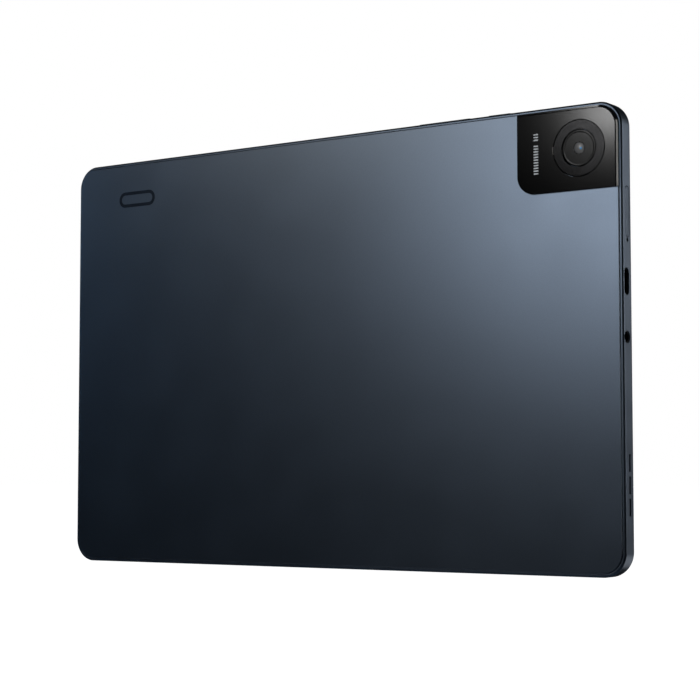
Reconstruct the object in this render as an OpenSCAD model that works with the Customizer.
// Tablet computer, 10-inch class, as an assembly of separate pieces.
// It stands upright: +X runs along the long side, +Y points out of the screen, -Y out of the
// back, +Z is up. The origin is under the middle of the body, at its bottom edge.
// Depth is counted as t, from the plane of the back (t = 0) to the screen (t = body_t).
// Distance in from the outer wall is counted as e.

/* [Body] */
// Width of the body along its long side
body_w = 244; // [200:1:320]
// Height of the body
body_h = 159; // [132:1:220]
// Thickness from back to screen, without the camera panel
body_t = 7.6; // [7.6:0.1:12]
// Radius of the body's corners
corner_r = 8.6; // [7:0.1:14]
// Thickness of the side wall
wall = 1.8; // [1.4:0.1:2.4]

/* [Edge profile] */
// Depth where the flat side wall begins
edge_back_t = 0.75; // [0.6:0.05:1]
// Width of the slope from the wall to the lip round the back
edge_slope_w = 0.6; // [0.3:0.05:0.8]
// Depth of the lip round the back
lip_t = 0.42; // [0.3:0.02:0.6]
// Distance from the outer wall to the edge of the back cover
cover_inset = 1.3; // [1.2:0.05:1.6]
// Gap between the lip and the back cover
cover_gap = 0.2; // [0.1:0.05:0.3]
// Radius of the rounded edge beside the screen
front_r = 1.4; // [1.2:0.1:3]
// Distance from the frame's front face to the front of the glass
glass_proud = 0.25; // [0:0.05:0.5]

/* [Back cover and chassis] */
// Thickness of the back cover
cover_t = 0.8; // [0.6:0.05:1.2]
// Thickness of the chassis plate behind the screen
chassis_t = 0.45; // [0.3:0.05:0.8]
// Number of snap hooks along each long side of the back cover
hooks_long = 8; // [4:1:12]
// Number of snap hooks along each short side of the back cover
hooks_short = 2; // [1:1:3]

/* [Screen] */
// Thickness of the cover glass
glass_t = 0.7; // [0.5:0.05:1]
// Thickness of the liquid crystal panel
lcd_t = 0.95; // [0.7:0.05:1.2]
// Thickness of the backlight unit
backlight_t = 1.0; // [0.7:0.05:1.3]
// Width of the border beside the lit area, short sides
border_x = 10; // [8:0.5:14]
// Width of the border beside the lit area, long sides
border_z = 9.5; // [8:0.5:14]
// How far the panel reaches past its lit area
lcd_margin = 1.6; // [1:0.1:2]

/* [Camera panel] */
// Width of the camera panel, from its inner edge to the side wall
panel_w = 39.3; // [34:0.1:50]
// Height of the camera panel, from its lower edge to the top wall
panel_h = 29.4; // [27:0.1:40]
// How far the camera panel stands out from the back cover
panel_proud = 0.7; // [0.4:0.05:1.2]
// Radius of the panel's inner lower corner
panel_corner_r = 6.6; // [3:0.1:10]
// Distance from the outer wall to the panel's outer edge
panel_inset = 1.0; // [0.9:0.05:1.3]
// Width of the bevel along the panel's two outer edges
panel_bevel_w = 1.0; // [0.5:0.05:1.5]
// Distance from the right wall to the lens
lens_from_right = 15.55; // [14:0.05:20]
// Distance from the top wall to the lens
lens_from_top = 15.1; // [14:0.05:20]
// Radius of the ring round the lens
ring_r = 9.8; // [8:0.1:11]
// Radius of the recess inside the ring
ring_inner_r = 6.35; // [5:0.05:7.5]
// Radius of the lens window
lens_r = 2.1; // [1.5:0.1:3]

/* [Ports] */
// Distance from the chassis plate back to the middle of the two ports
port_drop = 1.6; // [1.6:0.01:1.7]
// Distance from the top wall to the middle of the USB port
usb_from_top = 60.9; // [60:0.1:80]
// Distance from the top wall to the middle of the audio jack
jack_from_top = 79.45; // [79:0.05:100]
// Radius of the jack's bore
jack_bore_r = 1.8; // [1.75:0.05:1.9]
// Depth of the jack's bore
jack_bore_l = 14.5; // [14:0.5:16]
// Radius of the opening in the wall for the jack
jack_hole_r = 2.05; // [2:0.05:2.3]

/* [Card tray] */
// Distance from the top wall to the middle of the card tray
tray_from_top = 37.45; // [37:0.05:60]
// Height of the tray's outer face
tray_face_h = 16.9; // [16:0.1:18]
// Width of the tray's outer face, across the wall
tray_face_w = 2.5; // [2.2:0.1:2.8]
// How far the tray's face lies in front of the middle of the ports
tray_rise = 0.97; // [0.9:0.01:1]
// Length of the tray
tray_l = 24.5; // [20:0.5:26]
// Distance from the tray's lower end to the eject hole
eject_gap = 1.1; // [1:0.1:2]
// Radius of the eject hole
eject_hole_r = 0.55; // [0.5:0.05:0.7]

/* [Keys] */
// Distance from the right wall to the middle of the power key
power_from_right = 48.1; // [44:0.1:60]
// Length of the power key
power_l = 9.7; // [8:0.1:12]
// Distance from the right wall to the middle of the volume rocker
rocker_from_right = 70.55; // [68:0.05:100]
// Length of the volume rocker
rocker_l = 21.9; // [18:0.1:26]
// Width of the keys, across the wall
key_w = 2.4; // [2:0.1:2.6]
// Depth of the middle of the keys
key_t = 3.6; // [3.3:0.1:4]
// How far the keys stand out of the top wall
key_proud = 0.55; // [0.3:0.05:0.8]
// Travel of the power key
key_travel = 0.25; // [0.15:0.05:0.35]
// Gap between a key or the tray and its slot
moving_gap = 0.1; // [0.08:0.01:0.2]

/* [Speakers] */
// Distance from the bottom to the middle of the speaker slots
slots_from_bottom = 30.5; // [26:0.5:36]
// Length of one speaker slot
slot_l = 5.9; // [4:0.1:6.4]
// Width of a speaker slot
slot_w = 1.0; // [0.8:0.1:1.4]
// Distance between neighbouring slots
slot_pitch = 7.35; // [7:0.05:8]
// Depth of the middle of the speaker slots
slot_t = 3.8; // [3.2:0.1:4]

/* [Battery and boards] */
// Width of the main board
board_w = 38; // [36:0.5:46]
// Thickness of the main board
board_t = 0.8; // [0.6:0.1:1]
// Gap between a battery cell and what is beside it
cell_gap = 2; // [1:0.5:4]
// Radius of the screws' threads
screw_r = 0.6; // [0.5:0.05:0.8]

/* [Hidden] */
$fn = 48;
eps = 0.01;

// Body
right = body_w / 2;
y_back = (panel_proud - body_t) / 2;
groove_in = cover_inset - cover_gap;
front_face_t = body_t - glass_proud;

// Front stack, counted back from the glass
glass_back_t = body_t - glass_t;
adhesive_t = 0.1;
ledge_front_t = glass_back_t - adhesive_t;
lcd_back_t = glass_back_t - lcd_t;
backlight_back_t = lcd_back_t - backlight_t;
chassis_back_t = backlight_back_t - chassis_t;

// Ledges inside the frame
glass_gap = 0.15;
glass_inset = front_r + 0.25 + glass_gap;
ledge_in = glass_inset + 1.1;
ledge_h = 1.0;
snap_in = wall + 1.4;
snap_h = 0.8;
snap_t = cover_t + snap_h;
hook_over = 0.5;
hook_gap = 0.05;
hook_thick = 0.8;
hook_barb = 0.35;

// Boards
port_t = chassis_back_t - port_drop;
board_left = right - board_w;
board_back_t = port_t - 1.0;
board_front_t = board_back_t + board_t;
board_edge = 4.2;
usb_z = body_h - usb_from_top;
jack_z = body_h - jack_from_top;
tray_z = body_h - tray_from_top;
board_low = slots_from_bottom + 20;
board_step_z = tray_z + 9.5;
board_top = body_h - 8;
board_neck_w = 13;
boss_r = 1.3;
head_r = 1.1;
head_h = 0.6;
flex_t = 0.15;
flex_x = right - 5.6;
flex_w = 8;
flex_z = (usb_z + jack_z) / 2;
socket_x = board_left + 9;
socket_w = 6;
socket_h = 2.4;
socket_low = 0.3;
socket_high = 0.8;
shield_h = 0.95;
camera_socket_z = board_top - 15;
key_socket_z = board_top - 5;
front_socket_z = board_top - 10;

// USB port
usb_out_h = 8.9;
usb_out_w = 3.1;
usb_wall = 0.27;
usb_l = 7.4;
usb_face = 0.6;
usb_play = 0.12;

// Audio jack
jack_face = 0.5;
jack_housing = 4.0;

// Card tray
tray_face_t = port_t + tray_rise;
blade_h = 13.4;
blade_t0 = board_front_t + 0.3;
blade_t1 = blade_t0 + 1.1;
neck_h = blade_h - 0.6;
neck_w = blade_t1 - blade_t0 - 0.2;
cage_wall = 0.2;
cage_gap = 0.1;
cage_face = wall + 0.8;
cage_end = tray_l + 2;
face_thick = 1.25;
seal_thick = 0.5;
eject_z = tray_z - tray_face_h / 2 - eject_gap;
rod_t = port_t + 0.88;
rod_r = 0.5;
rod_clear = 0.06;
rod_face = wall + 0.25;
rod_end = cage_end + 0.5;
lever_arm = 4;
lever_w = 1.8;
lever_e = rod_end + 0.05 + lever_w / 2;
lever_z = eject_z + lever_arm;
lever_x = right - lever_e;
pin_r = 0.5;
pin_clear = 0.03;

// Camera
lens_x = right - lens_from_right;
lens_z = body_h - lens_from_top;
panel_x0 = right - panel_w;
panel_z0 = body_h - panel_h;
carrier_t = 0.25;
module_size = 8.6;
module_t0 = 1.2;
barrel_r = 3.2;
window_seat = 0.1;
front_cam_w = 6;
front_cam_h = 3.2;
front_cam_z = body_h - ledge_in - 0.1 - front_cam_h / 2;

// Keys
power_x = right - power_from_right;
rocker_x = right - rocker_from_right;
flange_gap = 0.32;
flange_t = 0.5;
flange_over = 0.6;
switch_gap = key_travel + 0.08;
switch_h = 0.45;
key_root_z = body_h - wall - flange_gap - flange_t;
nub_h = 0.4;
switch_seat_z = key_root_z - nub_h - switch_gap - switch_h;
bracket_top_z = switch_seat_z - flex_t;
bracket_h = 0.8;

keys_x0 = rocker_x - rocker_l / 2 - 2;
keys_x1 = power_x + power_l / 2 + 2;
tail_x0 = keys_x1 - 2;
mic_x = right - 100;

// Speakers
speaker_w = 15;
speaker_h = 32;
speaker_face = wall + 0.35;
speaker_t0 = snap_t + 0.1;
mesh_t = 0.12;
mesh_h = 2 * slot_pitch + slot_l + 1.6;

speaker_ear_z = speaker_h / 2 + 1.2;

// Battery
cells_x0 = -right + 20;
cells_x1 = board_left - cell_gap;
cell_w = (cells_x1 - cells_x0 - cell_gap) / 2;
cell_z0 = 14;
cell_h = body_h - cell_z0 - 31;
cell_t0 = cover_t + 0.3;
cell_t1 = chassis_back_t - adhesive_t;
cells_mid = (cells_x0 + cells_x1) / 2;
battery_cable_z = cell_z0 + cell_h + 4;

// ---- Helpers -------------------------------------------------------------

// Extrudes an outline drawn in X and Z through the depths t0 to t1.
module slab(t0, t1) {
    translate([0, y_back + t1, 0])
        rotate([90, 0, 0])
            linear_extrude(t1 - t0)
                children();
}

// Extrudes an outline drawn in depth and Z inwards from the right wall.
module side_slab(e0, e1) {
    translate([right - e1, y_back, 0])
        rotate([90, 0, 90])
            linear_extrude(e1 - e0)
                children();
}

// A box given by its lowest and highest X, depth and Z.
module block(x0, x1, t0, t1, z0, z1) {
    translate([x0, y_back + t0, z0])
        cube([x1 - x0, t1 - t0, z1 - z0]);
}

// A round bar along the depth.
module post(x, z, r, t0, t1) {
    translate([x, y_back + t1, z])
        rotate([90, 0, 0])
            cylinder(h = t1 - t0, r = r);
}

// A round bar along X, inwards from the right wall.
module bar(e0, e1, t, z, r) {
    translate([right - e1, y_back + t, z])
        rotate([0, 90, 0])
            cylinder(h = e1 - e0, r = r);
}

// A rectangle with round corners, centred.
module rounded(w, h, r) {
    square([w - 2 * r, h], center = true);
    square([w, h - 2 * r], center = true);
    for (sx = [-1, 1], sy = [-1, 1])
        translate([sx * (w / 2 - r), sy * (h / 2 - r)])
            circle(r);
}

// A slot outline with round ends, centred, long in its second direction.
module slot_outline(w, h) {
    square([w, h - w], center = true);
    for (s = [-1, 1])
        translate([0, s * (h - w) / 2])
            circle(w / 2);
}

// The body's outline, moved in by e.
module outline(e) {
    translate([0, body_h / 2])
        rounded(body_w - 2 * e, body_h - 2 * e, corner_r - e);
}

// Carries a section, a list of [e, t], all the way round the body.
module round_the_edge(section) {
    path = [for (p = section) [-p[0], p[1]]];
    turned = [for (p = section) [corner_r - p[0], p[1]]];
    for (m = [0, 1])
        mirror([m, 0, 0])
            translate([right, y_back, corner_r])
                linear_extrude(body_h - 2 * corner_r)
                    polygon(path);
    for (z = [0, body_h])
        translate([0, y_back, z])
            mirror([0, 0, z > 0 ? 1 : 0])
                translate([-(right - corner_r), 0, 0])
                    rotate([0, 90, 0])
                        linear_extrude(body_w - 2 * corner_r)
                            polygon(path);
    for (k = [0 : 3]) {
        sx = k == 0 || k == 3 ? 1 : -1;
        z = k < 2 ? corner_r : body_h - corner_r;
        translate([sx * (right - corner_r), y_back, z])
            rotate([0, k * 90, 0])
                rotate([-90, 0, 0])
                    rotate_extrude(angle = 90)
                        polygon(turned);
    }
}

// Copies a piece on the right to the left as well.
module both_sides() {
    for (m = [0, 1])
        mirror([m, 0, 0])
            children();
}

// ---- Shells --------------------------------------------------------------

module side_frame() {
    arc_steps = 8;
    section = concat(
        [[groove_in, cover_t], [groove_in, lip_t], [edge_slope_w, lip_t], [0, edge_back_t]],
        [for (i = [0 : arc_steps])
            let (a = 90 * i / arc_steps)
            [front_r * (1 - cos(a)), front_face_t - front_r * (1 - sin(a))]],
        [[glass_inset - glass_gap, front_face_t],
         [glass_inset - glass_gap, ledge_front_t], [ledge_in, ledge_front_t],
         [ledge_in, ledge_front_t - ledge_h], [wall, ledge_front_t - ledge_h],
         [wall, snap_t], [snap_in, snap_t], [snap_in, cover_t]]);
    color("#39424f")
        difference() {
            round_the_edge(section);
            key_cuts();
            port_cuts();
            both_sides()
                side_slab(-eps, wall + eps)
                    speaker_slots();
            // Way out for the microphone
            translate([mic_x, y_back + key_t, body_h - wall - eps])
                cylinder(h = wall + 2 * eps, r = 0.5);
        }
}

module key_cuts() {
    for (key = [[power_x, power_l], [rocker_x, rocker_l]])
        translate([key[0], y_back + key_t, body_h - wall - eps])
            linear_extrude(wall + 2 * eps)
                rotate(90)
                    slot_outline(key_w + 2 * moving_gap, key[1] + 2 * moving_gap);
}

module port_cuts() {
    side_slab(-eps, wall + eps)
        translate([port_t, usb_z])
            slot_outline(usb_out_w + 2 * usb_play, usb_out_h + 2 * usb_play);
    bar(-eps, wall + eps, port_t, jack_z, jack_hole_r);
    side_slab(-eps, wall + eps)
        translate([tray_face_t, tray_z])
            slot_outline(tray_face_w + 2 * moving_gap, tray_face_h + 2 * moving_gap);
    bar(-eps, wall + eps, rod_t, eject_z, eject_hole_r);
    // The ledge stands back where the port housings pass it
    block(right - snap_in - eps, right - wall, cover_t, snap_t + eps,
          usb_z - usb_out_h / 2 - 0.4, usb_z + usb_out_h / 2 + 0.4);
    block(right - snap_in - eps, right - wall, cover_t, snap_t + eps,
          jack_z - jack_housing / 2 - 0.4, jack_z + jack_housing / 2 + 0.4);
}

module speaker_slots() {
    for (i = [-1 : 1])
        translate([slot_t, slots_from_bottom + i * slot_pitch])
            slot_outline(slot_w, slot_l);
}

module back_cover() {
    span = body_w - 60;
    color("#3d4654") {
        difference() {
            slab(0, cover_t)
                outline(cover_inset);
            post(lens_x, lens_z, ring_inner_r, -eps, cover_t + eps);
        }
        for (i = [0 : hooks_long - 1]) {
            x = -span / 2 + span * i / (hooks_long - 1);
            translate([x, 0, snap_in])
                snap_hook();
            // The keys leave no room for hooks beside them
            if (x < rocker_x - rocker_l / 2 - 8)
                translate([x, 0, body_h - snap_in])
                    mirror([0, 0, 1])
                        snap_hook();
        }
        for (i = [0 : hooks_short - 1])
            translate([-right + snap_in, 0, body_h * (0.45 + 0.3 * i)])
                rotate([0, 90, 0])
                    snap_hook();
    }
}

// A hook that catches behind the frame's ledge, which lies towards -Z.
module snap_hook() {
    block(-2, 2, cover_t - eps, snap_t + hook_over, hook_gap, hook_gap + hook_thick);
    block(-2, 2, snap_t + hook_gap, snap_t + hook_over, -hook_barb, hook_gap + eps);
}

module chassis_plate() {
    color("#8d9196") {
        difference() {
            slab(chassis_back_t, backlight_back_t)
                outline(wall);
            // Passage for the front camera
            block(-front_cam_w / 2 - 0.3, front_cam_w / 2 + 0.3,
                  chassis_back_t - eps, backlight_back_t + eps,
                  front_cam_z - front_cam_h / 2 - 0.3, front_cam_z + front_cam_h / 2 + 0.1);
            // Notches for the keys, the microphone and the speakers' meshes
            block(mic_x - 2.2, keys_x1 + 0.3, chassis_back_t - eps, backlight_back_t + eps,
                  bracket_top_z, body_h - wall + eps);
            both_sides()
                block(right - wall - mesh_t - 0.1, right - wall + eps, chassis_back_t - eps,
                      backlight_back_t + eps, slots_from_bottom - mesh_h / 2 - 0.2,
                      slots_from_bottom + mesh_h / 2 + 0.2);
            // The audio jack sinks into the plate
            block(right - jack_face - jack_bore_l - 1.6, right - wall + eps,
                  chassis_back_t - eps, backlight_back_t + eps,
                  jack_z - jack_housing / 2 - 0.3, jack_z + jack_housing / 2 + 0.3);
            // Slot for the display's flat cable
            block(flex_x - 0.4, flex_x + flex_t + 0.4, chassis_back_t - eps,
                  backlight_back_t + eps, flex_z - flex_w / 2 - 1, flex_z + flex_w / 2 + 1);
            for (p = speaker_screw_places())
                post(p[0], p[1], screw_r, chassis_back_t - eps, backlight_back_t + eps);
        }
        // Stand-offs that the main board is screwed to
        for (p = board_screw_places())
            difference() {
                post(p[0], p[1], boss_r, board_front_t, chassis_back_t + eps);
                post(p[0], p[1], screw_r, board_front_t - eps, chassis_back_t + 2 * eps);
            }
    }
}

// ---- Screen --------------------------------------------------------------

module cover_glass() {
    color("#0b0d10")
        slab(glass_back_t, body_t)
            outline(glass_inset);
}

module display_adhesive() {
    color("#1d1f22")
        slab(ledge_front_t, glass_back_t)
            difference() {
                outline(glass_inset + 0.1);
                outline(ledge_in);
            }
}

module lcd_panel() {
    color("#15181d")
        slab(lcd_back_t, glass_back_t)
            lcd_outline(lcd_margin);
}

module backlight_unit() {
    color("#c9ced3")
        slab(backlight_back_t, lcd_back_t)
            lcd_outline(lcd_margin + 0.3);
}

module lcd_outline(margin) {
    translate([0, body_h / 2])
        square([body_w - 2 * (border_x - margin), body_h - 2 * (border_z - margin)],
               center = true);
}

// Flat cable from the panel's right edge, down through the chassis to the main board.
module display_flex() {
    panel_x = right - border_x + lcd_margin;
    top_t = lcd_back_t + 0.3;
    low_t = board_front_t + socket_low;
    end_x = flex_x - 5.3;
    color("#8a5a20")
        translate([0, y_back, flex_z - flex_w / 2])
            linear_extrude(flex_w)
                polygon([[panel_x, top_t], [flex_x + flex_t, top_t], [flex_x + flex_t, low_t],
                         [end_x, low_t], [end_x, low_t + flex_t], [flex_x, low_t + flex_t],
                         [flex_x, top_t - flex_t], [panel_x, top_t - flex_t]]);
}

// ---- Battery -------------------------------------------------------------

module battery_cell(i) {
    x0 = cells_x0 + i * (cell_w + cell_gap);
    color("#b8bcc0")
        slab(cell_t0, cell_t1)
            translate([x0 + cell_w / 2, cell_z0 + cell_h / 2])
                rounded(cell_w, cell_h, 2);
}

module battery_cell_left() {
    battery_cell(0);
}

module battery_cell_right() {
    battery_cell(1);
}

module battery_adhesive() {
    color("#e9e6da")
        for (i = [0, 1], k = [-1, 1])
            slab(cell_t1, chassis_back_t)
                translate([cells_x0 + cell_w / 2 + i * (cell_w + cell_gap) + k * cell_w / 4,
                           cell_z0 + cell_h / 2])
                    square([16, cell_h - 20], center = true);
}

// Protection board along the tops of the two cells, with a tab welded to each pole.
module battery_board() {
    z0 = cell_z0 + cell_h;
    t0 = board_back_t - 0.2;
    t1 = t0 + 0.8;
    color("#2f4a35")
        block(cells_mid - 34, cells_mid + 34, t0, t1, z0 + 1, z0 + 6.5);
    color("#c8c8c0")
        for (x = [-30, -12, 12, 30])
            block(cells_mid + x - 2, cells_mid + x + 2, t1, t1 + 0.2, z0, z0 + 4);
}

module battery_cable() {
    wires = 4;
    pitch = 1.1;
    color("#1a1a1c")
        for (i = [0 : wires - 1]) {
            z = battery_cable_z + (i - (wires - 1) / 2) * pitch;
            block(cells_mid + 34, board_left + 3, board_back_t - 0.75, board_back_t - 0.05,
                  z - 0.35, z + 0.35);
        }
}

// ---- Main board ----------------------------------------------------------

module main_board() {
    x1 = right - board_edge;
    color("#1f5136")
        difference() {
            slab(board_back_t, board_front_t)
                polygon([[board_left, board_low], [x1, board_low], [x1, board_step_z],
                         [board_left + board_neck_w, board_step_z],
                         [board_left + board_neck_w, board_top], [board_left, board_top]]);
            block(right - usb_face - usb_l - 0.2, x1 + eps, board_back_t - eps,
                  board_front_t + eps, usb_z - usb_out_h / 2 - 0.1, usb_z + usb_out_h / 2 + 0.1);
            block(right - jack_face - jack_bore_l - 1.5, x1 + eps, board_back_t - eps,
                  board_front_t + eps, jack_z - jack_housing / 2 - 0.3,
                  jack_z + jack_housing / 2 + 0.3);
            for (p = board_screw_places())
                post(p[0], p[1], screw_r + 0.15, board_back_t - eps, board_front_t + eps);
            post(lever_x, lever_z, pin_r, board_back_t - eps, board_front_t + eps);
        }
}

function board_screw_places() = [
    [board_left + 2.5, board_low + 2.5],
    [board_left + 2.5, usb_z],
    [board_left + 2.5, board_step_z - 12],
    [board_left + board_neck_w - 2, board_top - 2],
    [right - board_edge - 2.2, board_low + 12]
];

module processor_chip() {
    color("#26282b")
        block(board_left + 8, board_left + 21, board_back_t - 0.75, board_back_t,
              usb_z - 8, usb_z + 5);
}

module memory_chips() {
    color("#1d1f22")
        for (i = [0, 1])
            block(board_left + 8 + i * 10, board_left + 16 + i * 10, board_back_t - 0.7,
                  board_back_t, usb_z + 8, usb_z + 18);
}

module power_chips() {
    color("#2d2f33") {
        for (z = [-9, 1])
            block(board_left + 9, board_left + 14, board_front_t, board_front_t + 0.7,
                  usb_z + z, usb_z + z + 5);
        for (i = [0 : 3])
            block(board_left + 16, board_left + 18.5, board_front_t, board_front_t + 0.75,
                  usb_z - 9 + i * 4, usb_z - 6.5 + i * 4);
    }
}

// Pressed tin lids over the chips, open towards the board.
module board_shields() {
    color("#b9bcc0") {
        shield(board_left + 6.5, board_left + 28.5, usb_z - 10, usb_z + 6.3,
               board_back_t - shield_h, board_back_t, false);
        shield(board_left + 6.5, board_left + 28.5, usb_z + 6.8, usb_z + 19.5,
               board_back_t - shield_h, board_back_t, false);
        shield(board_left + 7.5, board_left + 20, usb_z - 10.5, usb_z + 6.5,
               board_front_t, board_front_t + shield_h, true);
    }
}

module shield(x0, x1, z0, z1, t0, t1, lid_in_front) {
    lid = 0.12;
    difference() {
        block(x0, x1, t0, t1, z0, z1);
        block(x0 + lid, x1 - lid, lid_in_front ? t0 - eps : t0 + lid,
              lid_in_front ? t1 - lid : t1 + eps, z0 + lid, z1 - lid);
    }
}

// Sockets for the camera, key, battery and display cables.
module board_connectors() {
    color("#23262a") {
        for (z = [camera_socket_z, key_socket_z, front_socket_z])
            block(socket_x - socket_w / 2, socket_x + socket_w / 2,
                  board_back_t - socket_high, board_back_t, z - socket_h / 2, z + socket_h / 2);
        block(board_left + 3, board_left + 6, board_back_t - socket_high, board_back_t,
              battery_cable_z - 2.5, battery_cable_z + 2.5);
        block(flex_x - 5.3, flex_x - 2.7, board_front_t, board_front_t + socket_low,
              flex_z - flex_w / 2 + 1, flex_z + flex_w / 2 - 1);
    }
}

module board_screws() {
    color("#9a9da1")
        for (p = board_screw_places())
            pan_screw(p[0], p[1], board_back_t, chassis_back_t - 0.1);
}

// A pan-head screw with its head on the side of the back cover.
module pan_screw(x, z, seat_t, tip_t) {
    post(x, z, screw_r, seat_t - eps, tip_t);
    difference() {
        post(x, z, head_r, seat_t - head_h, seat_t);
        // Cross recess
        block(x - head_r * 0.6, x + head_r * 0.6, seat_t - head_h - eps,
              seat_t - head_h / 2, z - 0.15, z + 0.15);
        block(x - 0.15, x + 0.15, seat_t - head_h - eps, seat_t - head_h / 2,
              z - head_r * 0.6, z + head_r * 0.6);
    }
}

// ---- Ports ---------------------------------------------------------------

module usb_port_shell() {
    color("#a9acb0") {
        difference() {
            side_slab(usb_face, usb_face + usb_l)
                translate([port_t, usb_z])
                    slot_outline(usb_out_w, usb_out_h);
            side_slab(usb_face - eps, usb_face + usb_l - 0.8)
                translate([port_t, usb_z])
                    slot_outline(usb_out_w - 2 * usb_wall, usb_out_h - 2 * usb_wall);
        }
        // Legs that are soldered to the board
        for (s = [-1, 1])
            block(right - usb_face - usb_l + 1, right - usb_face - usb_l + 3,
                  board_front_t, board_front_t + 0.25,
                  usb_z + s * (usb_out_h / 2 + 0.5) - 0.9, usb_z + s * (usb_out_h / 2 + 0.5) + 0.9);
    }
}

module usb_port_tongue() {
    pads = 6;
    root_x = right - usb_face - usb_l + 0.8;
    color("#17181a")
        block(root_x, root_x + 4.7, port_t - 0.33, port_t + 0.33, usb_z - 3.3, usb_z + 3.3);
    color("#c9a24a")
        for (i = [0 : pads - 1], s = [-1, 1]) {
            z = usb_z - 2.5 + i * 5 / (pads - 1);
            t0 = s > 0 ? port_t + 0.33 : port_t - 0.37;
            block(root_x + 0.6, root_x + 4.2, t0, t0 + 0.04, z - 0.18, z + 0.18);
        }
}

module audio_jack() {
    x0 = right - jack_face - jack_bore_l - 1.4;
    color("#15161a")
        difference() {
            union() {
                block(x0, right - wall - 0.1, port_t - jack_housing / 2,
                      port_t + jack_housing / 2, jack_z - jack_housing / 2,
                      jack_z + jack_housing / 2);
                bar(jack_face, wall + 0.2, port_t, jack_z, jack_hole_r - 0.05);
                // Ears that rest on the board
                block(x0 + 1, x0 + 4, board_front_t, board_front_t + 0.6,
                      jack_z - jack_housing / 2 - 1.4, jack_z + jack_housing / 2 + 1.4);
            }
            bar(jack_face - eps, jack_face + jack_bore_l, port_t, jack_z, jack_bore_r);
            for (p = contact_places())
                block(p[0] - 0.55, p[0] + 0.55, port_t - 0.5, port_t + 0.5,
                      p[1] < 0 ? jack_z - jack_housing / 2 - eps : jack_z,
                      p[1] < 0 ? jack_z : jack_z + jack_housing / 2 + eps);
        }
}

function contact_places() = [
    for (i = [0 : 3]) [right - jack_face - 4 - i * 2.9, i % 2 == 0 ? -1 : 1]
];

module audio_jack_contacts() {
    inner = jack_bore_r + 0.02;
    color("#c9a24a")
        for (p = contact_places()) {
            z0 = p[1] < 0 ? jack_z - jack_housing / 2 : jack_z + inner;
            z1 = p[1] < 0 ? jack_z - inner : jack_z + jack_housing / 2;
            block(p[0] - 0.5, p[0] + 0.5, port_t - 0.45, port_t + 0.45, z0, z1);
        }
}

// ---- Card tray and its eject gear ----------------------------------------

module card_reader() {
    z0 = tray_z - blade_h / 2 - cage_gap;
    z1 = tray_z + blade_h / 2 + cage_gap;
    t0 = blade_t0 - cage_gap;
    t1 = blade_t1 + cage_gap;
    color("#b5b8bc")
        difference() {
            union() {
                block(right - cage_end, right - cage_face, board_front_t, t1 + cage_wall,
                      z0 - cage_wall, z1 + cage_wall);
                // Two guides for the eject rod
                for (e = [cage_face, cage_end - 5])
                    block(right - e - 4, right - e, board_front_t, rod_t + rod_r + 0.2,
                          eject_z - rod_r - 0.4, z0);
            }
            block(right - cage_end - eps, right - cage_face + eps, t0, t1, z0, z1);
            for (e = [cage_face, cage_end - 5])
                bar(e - eps, e + 4 + eps, rod_t, eject_z, rod_r + rod_clear);
        }
}

module card_tray() {
    x0 = right - tray_l;
    z0 = tray_z - blade_h / 2;
    color("#414b59") {
        side_slab(0, face_thick)
            translate([tray_face_t, tray_z])
                slot_outline(tray_face_w, tray_face_h);
        side_slab(face_thick - eps, face_thick + seal_thick + eps)
            translate([(blade_t0 + blade_t1) / 2, tray_z])
                square([neck_w, neck_h], center = true);
        difference() {
            block(x0, right - face_thick - seal_thick, blade_t0, blade_t1, z0, z0 + blade_h);
            // Windows for the two cards, each with a thin rim that carries the card
            for (w = [[2.2, 11.5, 1.2, 9.9], [13.2, 21.2, 1.2, 12.2]]) {
                block(x0 + w[0], x0 + w[1], blade_t0 + 0.35, blade_t1 + eps,
                      z0 + w[2], z0 + w[3]);
                block(x0 + w[0] + 0.6, x0 + w[1] - 0.6, blade_t0 - eps, blade_t0 + 0.35 + eps,
                      z0 + w[2] + 0.6, z0 + w[3] - 0.6);
            }
        }
    }
}

module card_tray_seal() {
    color("#1a1a1b")
        side_slab(face_thick, face_thick + seal_thick)
            difference() {
                translate([tray_face_t, tray_z])
                    slot_outline(tray_face_w + 0.1, tray_face_h + 0.1);
                translate([(blade_t0 + blade_t1) / 2, tray_z])
                    square([neck_w, neck_h], center = true);
            }
}

module eject_plunger() {
    color("#a9acb0")
        bar(rod_face, rod_end, rod_t, eject_z, rod_r);
}

// Flat lever: the rod pushes its lower arm in and its upper arm pushes the tray out.
module eject_lever() {
    x = lever_x;
    color("#9fa3a8")
        slab(rod_t - 0.35, rod_t + 0.35)
            difference() {
                union() {
                    translate([x - lever_w / 2, eject_z - 0.5])
                        square([lever_w, 2 * lever_arm + 1]);
                    translate([x, lever_z])
                        circle(lever_w * 0.65);
                }
                translate([x, lever_z])
                    circle(pin_r + pin_clear);
            }
}

module lever_pin() {
    color("#8c9095") {
        post(lever_x, lever_z, pin_r, board_back_t, rod_t + 0.55);
        post(lever_x, lever_z, pin_r + 0.35, rod_t + 0.4, rod_t + 0.65);
    }
}

// ---- Keys ----------------------------------------------------------------

// A key that passes through the top wall, with a flange that keeps it in.
module key_body(x, l) {
    color("#414b59")
        translate([x, y_back + key_t, 0]) {
            translate([0, 0, key_root_z + eps])
                linear_extrude(body_h + key_proud - key_root_z - eps)
                    rotate(90)
                        slot_outline(key_w, l);
            translate([0, 0, key_root_z])
                linear_extrude(flange_t)
                    square([l + 2 * flange_over, key_w], center = true);
        }
}

module key_nub(x) {
    color("#414b59")
        translate([x, y_back + key_t, key_root_z - nub_h])
            cylinder(h = nub_h + eps, r = 0.8);
}

module power_key() {
    key_body(power_x, power_l);
    key_nub(power_x);
}

module volume_rocker() {
    key_body(rocker_x, rocker_l);
    for (s = [-1, 1])
        key_nub(rocker_x + s * rocker_l * 0.35);
}

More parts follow.
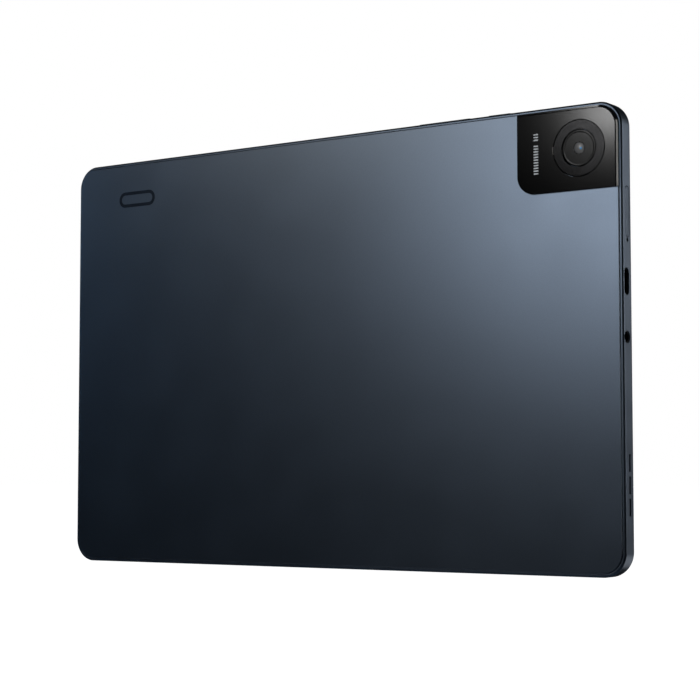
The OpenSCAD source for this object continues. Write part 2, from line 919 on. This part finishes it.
function switch_places() = [power_x, rocker_x - rocker_l * 0.35, rocker_x + rocker_l * 0.35];

module key_switches() {
    base = 0.3;
    color("#c6c9cc")
        for (x = switch_places()) {
            block(x - 1.5, x + 1.5, key_t - 1.1, key_t + 1.1, switch_seat_z,
                  switch_seat_z + base);
            translate([x, y_back + key_t, switch_seat_z + base - eps])
                cylinder(h = switch_h - base + eps, r = 0.7);
        }
}

module key_bracket() {
    color("#8d9196")
        block(keys_x0, tail_x0 - 0.1, key_t - 1.3, chassis_back_t, bracket_top_z - bracket_h,
              bracket_top_z);
}

// Flat cable under the switches and the microphone, with a tail past the end of the bracket
// to the main board.
module key_flex() {
    color("#8a5a20") {
        block(mic_x - 2, keys_x1, key_t - 1.1, key_t + 1.1, bracket_top_z, switch_seat_z);
        block(tail_x0, keys_x1, min(board_back_t - flex_t, key_t - 1.1),
              max(board_back_t, key_t + 1.1), bracket_top_z, switch_seat_z);
        block(tail_x0, keys_x1, board_back_t - flex_t, board_back_t,
              key_socket_z - 1, switch_seat_z);
        block(tail_x0, socket_x - socket_w / 2, board_back_t - flex_t, board_back_t,
              key_socket_z - 1, key_socket_z + 1);
    }
}

module microphone() {
    color("#b5b8bc")
        difference() {
            block(mic_x - 1.7, mic_x + 1.7, key_t - 1.1, key_t + 1.1, switch_seat_z,
                  switch_seat_z + 1);
            translate([mic_x, y_back + key_t, switch_seat_z + 0.5])
                cylinder(h = 1, r = 0.35);
        }
}

// ---- Rear camera ---------------------------------------------------------

module rear_camera_module() {
    half = module_size / 2;
    color("#202226")
        block(lens_x - half, lens_x + half, module_t0, chassis_back_t,
              lens_z - half, lens_z + half);
}

module rear_camera_barrel() {
    color("#141517")
        difference() {
            post(lens_x, lens_z, barrel_r, 0, module_t0);
            post(lens_x, lens_z, lens_r, -eps, 0.7);
        }
}

module rear_camera_flex() {
    z0 = camera_socket_z;
    t0 = board_back_t - flex_t;
    color("#8a5a20") {
        block(socket_x + socket_w / 2, lens_x + 1, t0, board_back_t, z0 - 1, z0 + 1);
        block(lens_x - 1, lens_x + 1, t0, board_back_t, z0 + 1 - eps,
              lens_z - module_size / 2);
    }
}

// The camera panel's outline: its outer corner follows the body's corner.
module panel_outline(inset) {
    far = 20;
    w = panel_w + far;
    h = panel_h + far;
    intersection() {
        outline(panel_inset + inset);
        translate([panel_x0 + w / 2, panel_z0 + h / 2])
            rounded(w - 2 * inset, h - 2 * inset, panel_corner_r - inset);
    }
}

module camera_carrier() {
    color("#17181b")
        slab(-carrier_t, 0)
            difference() {
                panel_outline(0.3);
                translate([lens_x, lens_z])
                    circle(ring_r + 0.05);
            }
}

module camera_cover_glass() {
    slope = (panel_proud - carrier_t + 0.1) / panel_bevel_w;
    edge_t = -carrier_t + 0.1;
    over = 0.5;
    color("#08090b")
        difference() {
            slab(-panel_proud, -carrier_t)
                difference() {
                    panel_outline(0);
                    translate([lens_x, lens_z])
                        circle(ring_r + 0.05);
                }
            // Bevel along the two outer edges
            round_the_edge([
                [panel_inset - over, edge_t + slope * over],
                [panel_inset - over, -panel_proud - slope * over],
                [panel_inset + panel_bevel_w + over, -panel_proud - slope * over]
            ]);
        }
}

module about_the_lens() {
    translate([lens_x, y_back, lens_z])
        rotate([-90, 0, 0])
            rotate_extrude()
                children();
}

// Turned metal ring with a fine groove round its outside.
module camera_ring() {
    face_t = -panel_proud + 0.06;
    groove = 0.25;
    color("#2a2d33")
        about_the_lens()
            polygon([
                [ring_inner_r + 0.05, 0], [ring_inner_r + 0.05, face_t + 0.12],
                [ring_inner_r + 0.3, face_t], [ring_r - groove, face_t],
                [ring_r - groove, face_t + groove], [ring_r, face_t + groove], [ring_r, 0]
            ]);
}

// Dished black insert between the ring and the lens window.
module camera_inner_ring() {
    rim_t = -panel_proud + 0.2;
    color("#0c0d0f")
        about_the_lens()
            polygon([
                [lens_r - 0.4, 0], [lens_r - 0.4, -window_seat], [lens_r + 0.02, -window_seat],
                [lens_r + 0.02, rim_t + 0.15], [lens_r + 0.6, rim_t + 0.15],
                [ring_inner_r - 0.4, rim_t], [ring_inner_r, rim_t], [ring_inner_r, 0]
            ]);
}

module lens_window() {
    color("#39424c")
        post(lens_x, lens_z, lens_r, -panel_proud + 0.25, -window_seat);
}

// ---- Front camera --------------------------------------------------------

module front_camera() {
    color("#202226") {
        block(-front_cam_w / 2, front_cam_w / 2, board_back_t - flex_t, glass_back_t - 0.9,
              front_cam_z - front_cam_h / 2, front_cam_z + front_cam_h / 2);
        post(0, front_cam_z, front_cam_h / 2 - 0.2, glass_back_t - 0.9 - eps,
             glass_back_t - 0.05);
    }
}

module front_camera_flex() {
    t0 = board_back_t - flex_t;
    color("#8a5a20") {
        block(-1.5, 1.5, t0, board_back_t, front_socket_z - 1,
              front_cam_z - front_cam_h / 2);
        block(1.5 - eps, socket_x - socket_w / 2, t0, board_back_t, front_socket_z - 1,
              front_socket_z + 1);
    }
}

// ---- Sound and radio -----------------------------------------------------

module speaker_box() {
    x1 = right - speaker_face;
    duct_t0 = slot_t - 0.5;
    color("#1c1d20")
        difference() {
            union() {
                block(x1 - speaker_w, x1, speaker_t0, chassis_back_t,
                      slots_from_bottom - speaker_h / 2, slots_from_bottom + speaker_h / 2);
                for (s = [-1, 1])
                    post(x1 - speaker_w / 2, slots_from_bottom + s * speaker_ear_z, 1.7,
                         chassis_back_t - 1, chassis_back_t);
            }
            // Duct to the slots in the wall
            block(x1 - 4, x1 + eps, duct_t0, duct_t0 + 1, slots_from_bottom - slot_pitch * 1.4,
                  slots_from_bottom + slot_pitch * 1.4);
            for (s = [-1, 1])
                post(x1 - speaker_w / 2, slots_from_bottom + s * speaker_ear_z,
                     screw_r + 0.15, chassis_back_t - 1 - eps, chassis_back_t + eps);
            // Window of the driver's diaphragm
            translate([x1 - speaker_w / 2, y_back + speaker_t0 + 0.4, slots_from_bottom])
                rotate([90, 0, 0])
                    linear_extrude(1)
                        slot_outline(8, 15);
        }
    // Diaphragm
    color("#3a3d42")
        translate([x1 - speaker_w / 2, y_back + speaker_t0 + 0.41, slots_from_bottom])
            rotate([90, 0, 0])
                linear_extrude(0.25)
                    slot_outline(6.4, 13.4);
}

module speaker_right() {
    speaker_box();
}

module speaker_left() {
    mirror([1, 0, 0])
        speaker_box();
}

function speaker_screw_places() = [
    for (sx = [-1, 1], sz = [-1, 1])
        [sx * (right - speaker_face - speaker_w / 2), slots_from_bottom + sz * speaker_ear_z]
];

module speaker_screws() {
    color("#9a9da1")
        for (p = speaker_screw_places())
            pan_screw(p[0], p[1], chassis_back_t - 1, backlight_back_t - 0.05);
}

module speaker_meshes() {
    color("#202124")
        both_sides()
            side_slab(wall, wall + mesh_t)
                translate([slot_t, slots_from_bottom])
                    square([slot_w + 0.8, mesh_h], center = true);
}

// A printed antenna on a plastic carrier, with its contact plate.
module antenna(z, s) {
    x0 = -right + snap_in + hook_thick + 1;
    color("#d8d4c8")
        block(x0, x0 + 26, snap_t + 0.2, chassis_back_t, min(z, z + s * 4.5),
              max(z, z + s * 4.5));
    color("#b87a45")
        block(x0 + 1, x0 + 24, snap_t + 0.12, snap_t + 0.2 + eps, min(z + s * 0.8, z + s * 2.2),
              max(z + s * 0.8, z + s * 2.2));
}

module wifi_antenna() {
    antenna(body_h - 9.6, 1);
}

module mobile_antenna() {
    antenna(9.4, -1);
}

// Coaxial cable along the top of the battery, with a snap-on plug at each end.
module antenna_cable() {
    x0 = -right + snap_in + hook_thick + 6;
    z = body_h - 11.6;
    t = board_front_t + 0.45;
    color("#e6e6e2")
        translate([x0, y_back + t, z])
            rotate([0, 90, 0])
                cylinder(h = board_left + 3 - x0, r = 0.4);
    color("#b9a04a")
        for (x = [x0, board_left + 3])
            post(x, z, 0.95, board_front_t, board_front_t + 1);
}

module graphite_sheet() {
    x0 = cells_x0 + 30;
    x1 = right - 16;
    z0 = board_low;
    z1 = tray_z;
    color("#33363a")
        slab(cover_t, cover_t + 0.1)
            translate([(x0 + x1) / 2, (z0 + z1) / 2])
                rounded(x1 - x0, z1 - z0, 3);
}

// ---- Assembly ------------------------------------------------------------

back_cover();
side_frame();
chassis_plate();
cover_glass();
display_adhesive();
lcd_panel();
backlight_unit();
display_flex();
battery_cell_left();
battery_cell_right();
battery_adhesive();
battery_board();
battery_cable();
main_board();
processor_chip();
memory_chips();
power_chips();
board_shields();
board_connectors();
usb_port_shell();
usb_port_tongue();
audio_jack();
audio_jack_contacts();
card_reader();
card_tray();
card_tray_seal();
eject_plunger();
eject_lever();
lever_pin();
volume_rocker();
power_key();
key_bracket();
key_switches();
key_flex();
rear_camera_module();
rear_camera_barrel();
rear_camera_flex();
camera_carrier();
camera_cover_glass();
camera_ring();
camera_inner_ring();
lens_window();
front_camera();
front_camera_flex();
speaker_right();
speaker_left();
speaker_meshes();
microphone();
wifi_antenna();
mobile_antenna();
antenna_cable();
graphite_sheet();
board_screws();
speaker_screws();
